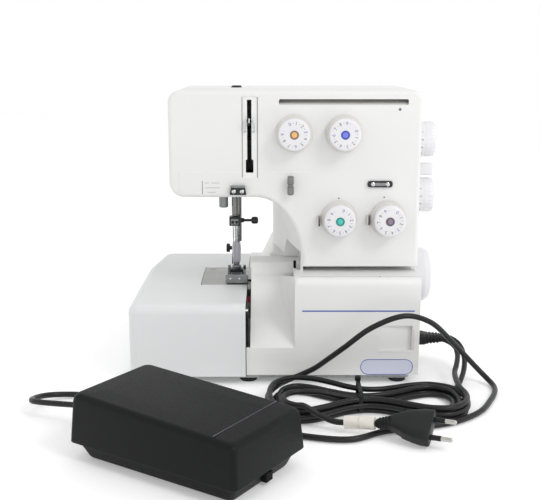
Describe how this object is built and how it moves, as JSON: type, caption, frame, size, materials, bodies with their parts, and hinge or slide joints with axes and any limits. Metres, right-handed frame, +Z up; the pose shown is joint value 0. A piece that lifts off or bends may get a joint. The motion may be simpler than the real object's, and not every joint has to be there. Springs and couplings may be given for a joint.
{
  "type": "serger overlock sewing machine",
  "caption": "Overlock sewing machine with tension dials, free-arm bed, hinged looper cover, thread stand, foot pedal and cord set.",
  "frame": {"origin": "on the table under the middle of the machine and pedal together", "axes": "+X to the right of the person sewing, +Y away from them toward the thread stand, +Z up"},
  "size_m": [0.4505, 0.549, 0.296],
  "materials": {
    "base_tray": "plated sheet steel",
    "foot_front_left": "black rubber",
    "foot_front_right": "black rubber",
    "foot_rear_left": "black rubber",
    "foot_rear_right": "black rubber",
    "arm_frame": "die-cast, painted",
    "front_housing": "white moulded ABS, fine satin",
    "rear_housing": "white moulded ABS, fine satin",
    "side_cover": "white moulded ABS, fine satin",
    "looper_cover": "white moulded ABS, fine satin",
    "cover_slider": "turned or stamped steel",
    "needle_plate": "satin ground steel",
    "spool_stand": "white moulded ABS, fine satin",
    "pole_upper": "turned or stamped steel",
    "spool_pin_1": "white moulded ABS, fine satin",
    "spool_pin_2": "white moulded ABS, fine satin",
    "spool_pin_3": "white moulded ABS, fine satin",
    "spool_pin_4": "white moulded ABS, fine satin",
    "presser_bar": "turned or stamped steel",
    "ankle": "cast, satin",
    "presser_foot": "polished chrome plate",
    "ankle_screw": "turned or stamped steel",
    "presser_lever": "white moulded ABS, fine satin",
    "pressure_screw": "black moulded plastic",
    "needle_bar": "polished chrome plate",
    "needle_clamp": "turned or stamped steel",
    "needle_clamp_screw": "blackened steel",
    "needle_left": "polished chrome plate",
    "needle_right": "polished chrome plate",
    "take_up_lever": "polished chrome plate",
    "head_thread_guide": "polished chrome plate",
    "thread_post": "polished chrome plate",
    "panel_thread_guide": "polished chrome plate",
    "tension_dial_left_needle": "white plastic, orange centre",
    "tension_dial_right_needle": "white plastic, blue centre",
    "tension_dial_upper_looper": "white plastic, teal centre",
    "tension_dial_lower_looper": "white plastic, mauve centre",
    "stitch_length_dial": "white moulded ABS, fine satin",
    "differential_feed_dial": "white moulded ABS, fine satin",
    "handwheel": "white moulded ABS, fine satin",
    "cutting_width_lever": "white moulded ABS, fine satin",
    "power_switch": "black moulded plastic",
    "main_shaft": "turned or stamped steel",
    "motor": "painted steel case",
    "motor_pulley": "turned or stamped steel",
    "drive_belt": "black rubber",
    "upper_looper": "turned or stamped steel",
    "lower_looper": "turned or stamped steel",
    "upper_knife": "turned or stamped steel",
    "feed_dog": "turned or stamped steel",
    "pedal_base": "charcoal moulded ABS, fine texture",
    "pedal_tread": "charcoal moulded ABS, fine texture",
    "pedal_grommet": "black rubber",
    "machine_connector": "black moulded plastic",
    "mains_plug": "black moulded plastic",
    "pedal_lead_start": "black flexible PVC",
    "pedal_lead_end": "black flexible PVC",
    "mains_lead_start": "black flexible PVC",
    "mains_lead_end": "black flexible PVC",
    "cord_hank": "black flexible PVC"
  },
  "bodies": {
    "machine": {"base_tray": "base_tray", "foot_front_left": "foot_front_left", "foot_front_right": "foot_front_right", "foot_rear_left": "foot_rear_left", "foot_rear_right": "foot_rear_right", "arm_frame": "arm_frame", "front_housing": "front_housing", "rear_housing": "rear_housing", "needle_plate": "needle_plate", "spool_stand": "spool_stand", "spool_pin_1": "spool_pin_1", "spool_pin_2": "spool_pin_2", "spool_pin_3": "spool_pin_3", "spool_pin_4": "spool_pin_4", "head_thread_guide": "head_thread_guide", "thread_post": "thread_post", "panel_thread_guide": "panel_thread_guide", "motor": "motor", "drive_belt": "drive_belt", "pedal_base": "pedal_base", "pedal_grommet": "pedal_grommet", "machine_connector": "machine_connector", "mains_plug": "mains_plug", "pedal_lead_start": "pedal_lead_start", "pedal_lead_end": "pedal_lead_end", "mains_lead_start": "mains_lead_start", "mains_lead_end": "mains_lead_end", "cord_hank": "cord_hank"},
    "side_cover": {"side_cover": "side_cover"},
    "cover_slide": {"cover_slider": "cover_slider"},
    "looper_cover": {"looper_cover": "looper_cover"},
    "upper_pole": {"pole_upper": "pole_upper"},
    "presser": {"presser_bar": "presser_bar", "ankle": "ankle", "ankle_screw": "ankle_screw"},
    "foot": {"presser_foot": "presser_foot"},
    "lifter": {"presser_lever": "presser_lever"},
    "pressure_screw": {"pressure_screw": "pressure_screw"},
    "needle_bar": {"needle_bar": "needle_bar", "needle_clamp": "needle_clamp", "needle_clamp_screw": "needle_clamp_screw", "needle_left": "needle_left", "needle_right": "needle_right"},
    "take_up": {"take_up_lever": "take_up_lever"},
    "dial_left_needle": {"tension_dial_left_needle": "tension_dial_left_needle"},
    "dial_right_needle": {"tension_dial_right_needle": "tension_dial_right_needle"},
    "dial_upper_looper": {"tension_dial_upper_looper": "tension_dial_upper_looper"},
    "dial_lower_looper": {"tension_dial_lower_looper": "tension_dial_lower_looper"},
    "length_dial": {"stitch_length_dial": "stitch_length_dial"},
    "differential_dial": {"differential_feed_dial": "differential_feed_dial"},
    "wheel": {"handwheel": "handwheel", "main_shaft": "main_shaft"},
    "width_lever": {"cutting_width_lever": "cutting_width_lever"},
    "switch": {"power_switch": "power_switch"},
    "motor_pulley": {"motor_pulley": "motor_pulley"},
    "upper_looper": {"upper_looper": "upper_looper"},
    "lower_looper": {"lower_looper": "lower_looper"},
    "upper_knife": {"upper_knife": "upper_knife"},
    "feed_dog": {"feed_dog": "feed_dog"},
    "tread": {"pedal_tread": "pedal_tread"}
  },
  "joints": [
    {"name": "side_cover_pull", "type": "slide", "parent": "machine", "child": "side_cover", "axis": [-1, 0, 0], "range_m": [0, 0.06]},
    {"name": "cover_catch_slide", "type": "slide", "parent": "machine", "child": "cover_slide", "axis": [1, 0, 0], "range_m": [0, 0.003]},
    {"name": "cover_tilt", "type": "hinge", "parent": "cover_slide", "child": "looper_cover", "pos_m": [0.0728, -0.0024, 0.0103], "axis": [1, 0, 0], "range_deg": [0, 15]},
    {"name": "pole_raise", "type": "slide", "parent": "machine", "child": "upper_pole", "axis": [0, 0, 1], "range_m": [0, 0.13]},
    {"name": "presser_lift", "type": "hinge", "parent": "machine", "child": "lifter", "pos_m": [-0.0427, 0.1515, 0.205], "axis": [1, 0, 0], "range_deg": [0, 25]},
    {"name": "presser_bar_lift", "type": "slide", "parent": "machine", "child": "presser", "axis": [0, 0, 1], "range_m": [0, 0.006]},
    {"name": "foot_tilt", "type": "hinge", "parent": "presser", "child": "foot", "pos_m": [-0.0427, 0.1215, 0.0905], "axis": [1, 0, 0], "range_deg": [-10, 0]},
    {"name": "pressure_turn", "type": "hinge", "parent": "machine", "child": "pressure_screw", "pos_m": [-0.0432, 0.1145, 0.28], "axis": [0, 0, 1], "range_deg": [-360, 360]},
    {"name": "needle_stroke", "type": "slide", "parent": "machine", "child": "needle_bar", "axis": [0, 0, 1], "range_m": [-0.027, 0]},
    {"name": "take_up_swing", "type": "hinge", "parent": "machine", "child": "take_up", "pos_m": [-0.0277, 0.0775, 0.256], "axis": [1, 0, 0], "range_deg": [0, 31]},
    {"name": "upper_looper_swing", "type": "hinge", "parent": "machine", "child": "upper_looper", "pos_m": [-0.0192, 0.1015, 0.03], "axis": [1, 0, 0], "range_deg": [0, 12.5]},
    {"name": "lower_looper_swing", "type": "hinge", "parent": "machine", "child": "lower_looper", "pos_m": [-0.0672, 0.1015, 0.03], "axis": [1, 0, 0], "range_deg": [0, 12.5]},
    {"name": "knife_stroke", "type": "slide", "parent": "machine", "child": "upper_knife", "axis": [0, 0, 1], "range_m": [-0.0085, 0]},
    {"name": "feed_stroke", "type": "slide", "parent": "machine", "child": "feed_dog", "axis": [0, 1, 0], "range_m": [0, 0.0032]},
    {"name": "handwheel_turn", "type": "hinge", "parent": "machine", "child": "wheel", "pos_m": [0.0928, 0.0995, 0.089], "axis": [1, 0, 0], "continuous": true},
    {"name": "motor_pulley_turn", "type": "hinge", "parent": "machine", "child": "motor_pulley", "pos_m": [0.1108, 0.1855, 0.05], "axis": [1, 0, 0], "continuous": true},
    {"name": "stitch_length_turn", "type": "hinge", "parent": "machine", "child": "length_dial", "pos_m": [0.1433, 0.0645, 0.241], "axis": [1, 0, 0], "range_deg": [-120, 120]},
    {"name": "differential_turn", "type": "hinge", "parent": "machine", "child": "differential_dial", "pos_m": [0.1433, 0.0645, 0.183], "axis": [1, 0, 0], "range_deg": [-90, 90]},
    {"name": "cutting_width_turn", "type": "hinge", "parent": "machine", "child": "width_lever", "pos_m": [0.1433, 0.0645, 0.21], "axis": [1, 0, 0], "range_deg": [-25, 25]},
    {"name": "switch_rock", "type": "hinge", "parent": "machine", "child": "switch", "pos_m": [0.1408, 0.0975, 0.0325], "axis": [0, 0, 1], "range_deg": [-8, 8]},
    {"name": "pedal_press", "type": "hinge", "parent": "machine", "child": "tread", "pos_m": [-0.01703, -0.22914, 0.026], "axis": [-0.5519, -0.8339, 0], "range_deg": [0, 4.5], "stiffness_Nm_per_rad": 0.6, "springref_deg": -17.19},
    {"name": "tension_left_needle_turn", "type": "hinge", "parent": "machine", "child": "dial_left_needle", "pos_m": [0.0165, 0.0225, 0.25], "axis": [0, -1, 0], "range_deg": [-150, 150]},
    {"name": "tension_right_needle_turn", "type": "hinge", "parent": "machine", "child": "dial_right_needle", "pos_m": [0.066, 0.0225, 0.25], "axis": [0, -1, 0], "range_deg": [-150, 150]},
    {"name": "tension_upper_looper_turn", "type": "hinge", "parent": "machine", "child": "dial_upper_looper", "pos_m": [0.0623, 0.0225, 0.1647], "axis": [0, -1, 0], "range_deg": [-150, 150]},
    {"name": "tension_lower_looper_turn", "type": "hinge", "parent": "machine", "child": "dial_lower_looper", "pos_m": [0.1117, 0.0225, 0.1647], "axis": [0, -1, 0], "range_deg": [-150, 150]}
  ],
  "couplings": [
    {"joint": "presser_bar_lift", "follows": "presser_lift", "m_per_rad": 0.01374},
    {"joint": "take_up_swing", "follows": "needle_stroke", "rad_per_m": -19.39},
    {"joint": "upper_looper_swing", "follows": "needle_stroke", "rad_per_m": -7.757},
    {"joint": "lower_looper_swing", "follows": "needle_stroke", "rad_per_m": -7.757},
    {"joint": "knife_stroke", "follows": "needle_stroke", "ratio": 0.3},
    {"joint": "feed_stroke", "follows": "needle_stroke", "ratio": -0.11},
    {"joint": "motor_pulley_turn", "follows": "handwheel_turn", "ratio": 2.25}
  ]
}
